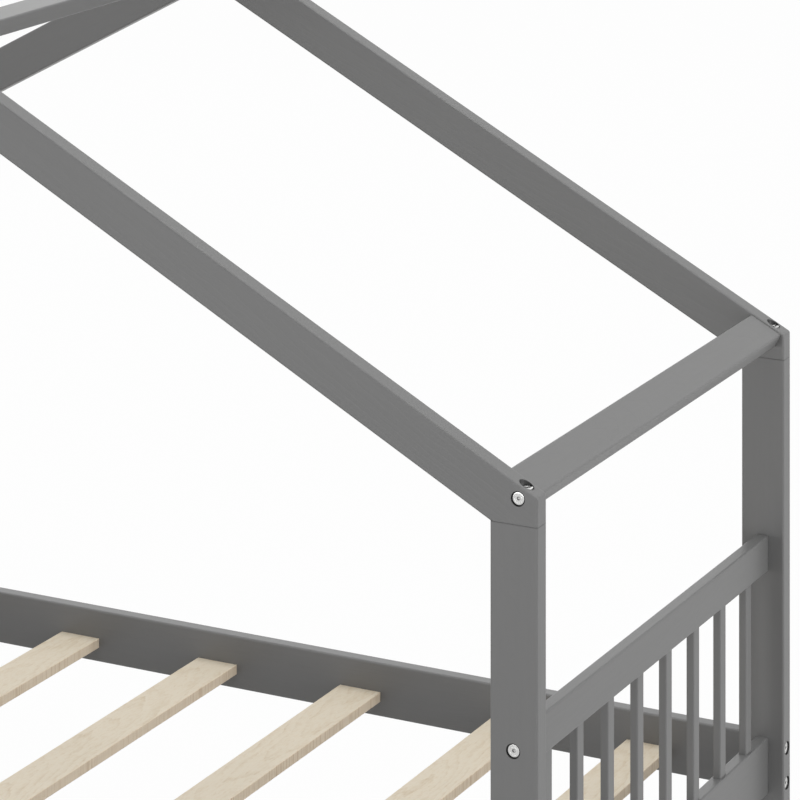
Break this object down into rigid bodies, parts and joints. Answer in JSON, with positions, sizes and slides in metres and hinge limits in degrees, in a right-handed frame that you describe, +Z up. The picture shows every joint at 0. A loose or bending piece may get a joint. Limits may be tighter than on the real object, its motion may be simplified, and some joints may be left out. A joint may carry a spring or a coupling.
{
  "type": "house frame bed",
  "caption": "Low single bed of grey lacquered wood under an open house-shaped roof frame, with flat spindles at both ends, loose cross slats and bolted rails.",
  "frame": {"origin": "on the floor under the middle of the bed", "axes": "+X along the bed to the head end, +Y across the bed to the back, +Z up; the gables stand over the two long sides"},
  "size_m": [2.102, 0.965, 1.4841],
  "materials": {
    "grey_lacquer": "satin mid-grey lacquer",
    "bare_pine": "planed and unpainted",
    "zinc_plate": "bright zinc plating"
  },
  "bodies": {
    "root": {"post_head_front": "grey_lacquer", "post_head_back": "grey_lacquer", "post_foot_front": "grey_lacquer", "post_foot_back": "grey_lacquer", "rafter_head_front": "grey_lacquer", "rafter_head_back": "grey_lacquer", "rafter_foot_front": "grey_lacquer", "rafter_foot_back": "grey_lacquer", "eave_board_head": "grey_lacquer", "eave_board_foot": "grey_lacquer", "ridge_board": "grey_lacquer", "side_rail_front": "grey_lacquer", "side_rail_back": "grey_lacquer", "head_top_rail": "grey_lacquer", "head_lower_board": "grey_lacquer", "foot_top_rail": "grey_lacquer", "foot_lower_board": "grey_lacquer", "head_spindle_1": "grey_lacquer", "head_spindle_2": "grey_lacquer", "head_spindle_3": "grey_lacquer", "head_spindle_4": "grey_lacquer", "head_spindle_5": "grey_lacquer", "head_spindle_6": "grey_lacquer", "head_spindle_7": "grey_lacquer", "head_spindle_8": "grey_lacquer", "foot_spindle_1": "grey_lacquer", "foot_spindle_2": "grey_lacquer", "foot_spindle_3": "grey_lacquer", "foot_spindle_4": "grey_lacquer", "foot_spindle_5": "grey_lacquer", "foot_spindle_6": "grey_lacquer", "foot_spindle_7": "grey_lacquer", "foot_spindle_8": "grey_lacquer", "slat_1": "bare_pine", "slat_2": "bare_pine", "slat_3": "bare_pine", "slat_4": "bare_pine", "slat_5": "bare_pine", "slat_6": "bare_pine", "slat_7": "bare_pine", "rafter_screw_head_front": "zinc_plate", "rafter_screw_head_back": "zinc_plate", "rafter_screw_foot_front": "zinc_plate", "rafter_screw_foot_back": "zinc_plate", "eave_bolt_head_front": "zinc_plate", "eave_bolt_head_back": "zinc_plate", "eave_bolt_foot_front": "zinc_plate", "eave_bolt_foot_back": "zinc_plate", "top_rail_bolt_head_front": "zinc_plate", "top_rail_bolt_head_back": "zinc_plate", "top_rail_bolt_foot_front": "zinc_plate", "top_rail_bolt_foot_back": "zinc_plate", "side_rail_bolt_head_front_upper": "zinc_plate", "side_rail_bolt_head_front_lower": "zinc_plate", "side_rail_bolt_head_back_upper": "zinc_plate", "side_rail_bolt_head_back_lower": "zinc_plate", "side_rail_bolt_foot_front_upper": "zinc_plate", "side_rail_bolt_foot_front_lower": "zinc_plate", "side_rail_bolt_foot_back_upper": "zinc_plate", "side_rail_bolt_foot_back_lower": "zinc_plate"}
  },
  "joints": []
}
